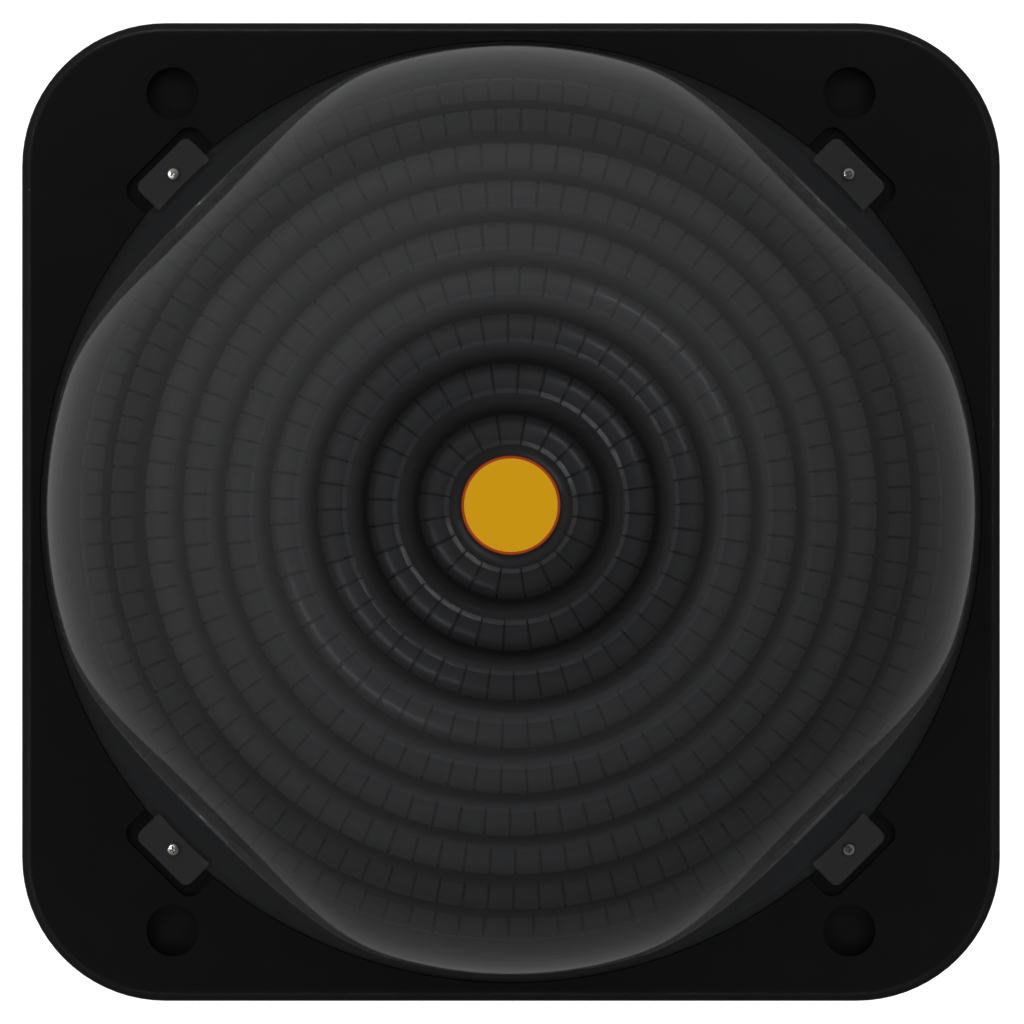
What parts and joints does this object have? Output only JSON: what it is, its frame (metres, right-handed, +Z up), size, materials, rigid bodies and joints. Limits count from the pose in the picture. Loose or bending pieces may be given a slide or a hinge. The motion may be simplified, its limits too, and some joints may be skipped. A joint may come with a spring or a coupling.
{
  "type": "solar dome pool heater",
  "caption": "Square base with a coil of ribbed black hose turns under a clear dome, threaded hose ports in one side and folding tilt legs underneath.",
  "frame": {"origin": "bottom centre of the feet, on the surface that the heater stands on", "axes": "+Z up, -Y towards the side with the two hose ports, +Y towards the leg hinges"},
  "size_m": [0.6, 0.6, 0.33],
  "materials": {
    "base": "fine grain, satin",
    "pan": "fine grain, matte",
    "cover": "clear polycarbonate, polished",
    "hose": "black polyethylene, satin gloss",
    "fitting": "moulded, satin",
    "pipe": "satin",
    "port": "moulded, satin",
    "arm": "moulded, matte",
    "leg": "fine grain, satin",
    "rubber": "matte",
    "seal": "matte",
    "disc": "printed film, satin, orange-red edge",
    "steel": "stainless, satin"
  },
  "bodies": {
    "base": {"base_tray": "base", "base_pan": "pan", "pan_screws": "steel", "foot_pads": "rubber", "cover_dome": "cover", "cover_seal": "seal", "cover_screws": "steel", "sun_disc": "disc", "crossover_links": "fitting", "feed_pipe": "pipe", "return_pipe": "pipe", "inlet_socket": "port", "outlet_socket": "port", "port_seals": "seal", "port_screws": "steel", "hose_clamps": "steel", "pipe_grommets": "seal", "arm_screws": "steel", "top_hub": "arm", "left_leg_pin": "steel", "right_leg_pin": "steel", "coil_turn_01": "hose", "coil_turn_02": "hose", "coil_turn_03": "hose", "coil_turn_04": "hose", "coil_turn_05": "hose", "coil_turn_06": "hose", "coil_turn_07": "hose", "coil_turn_08": "hose", "coil_turn_09": "hose", "coil_turn_10": "hose", "coil_turn_11": "hose", "support_arm_1": "arm", "support_arm_2": "arm", "support_arm_3": "arm", "support_arm_4": "arm"},
    "left_leg": {"left_leg": "leg", "left_leg_tip": "rubber"},
    "right_leg": {"right_leg": "leg", "right_leg_tip": "rubber"}
  },
  "joints": [
    {"name": "left_leg_fold", "type": "hinge", "parent": "base", "child": "left_leg", "pos_m": [-0.15, 0.245, 0.0085], "axis": [1, 0, 0], "range_deg": [0, 105]},
    {"name": "right_leg_fold", "type": "hinge", "parent": "base", "child": "right_leg", "pos_m": [0.15, 0.245, 0.0085], "axis": [1, 0, 0], "range_deg": [0, 105]}
  ]
}
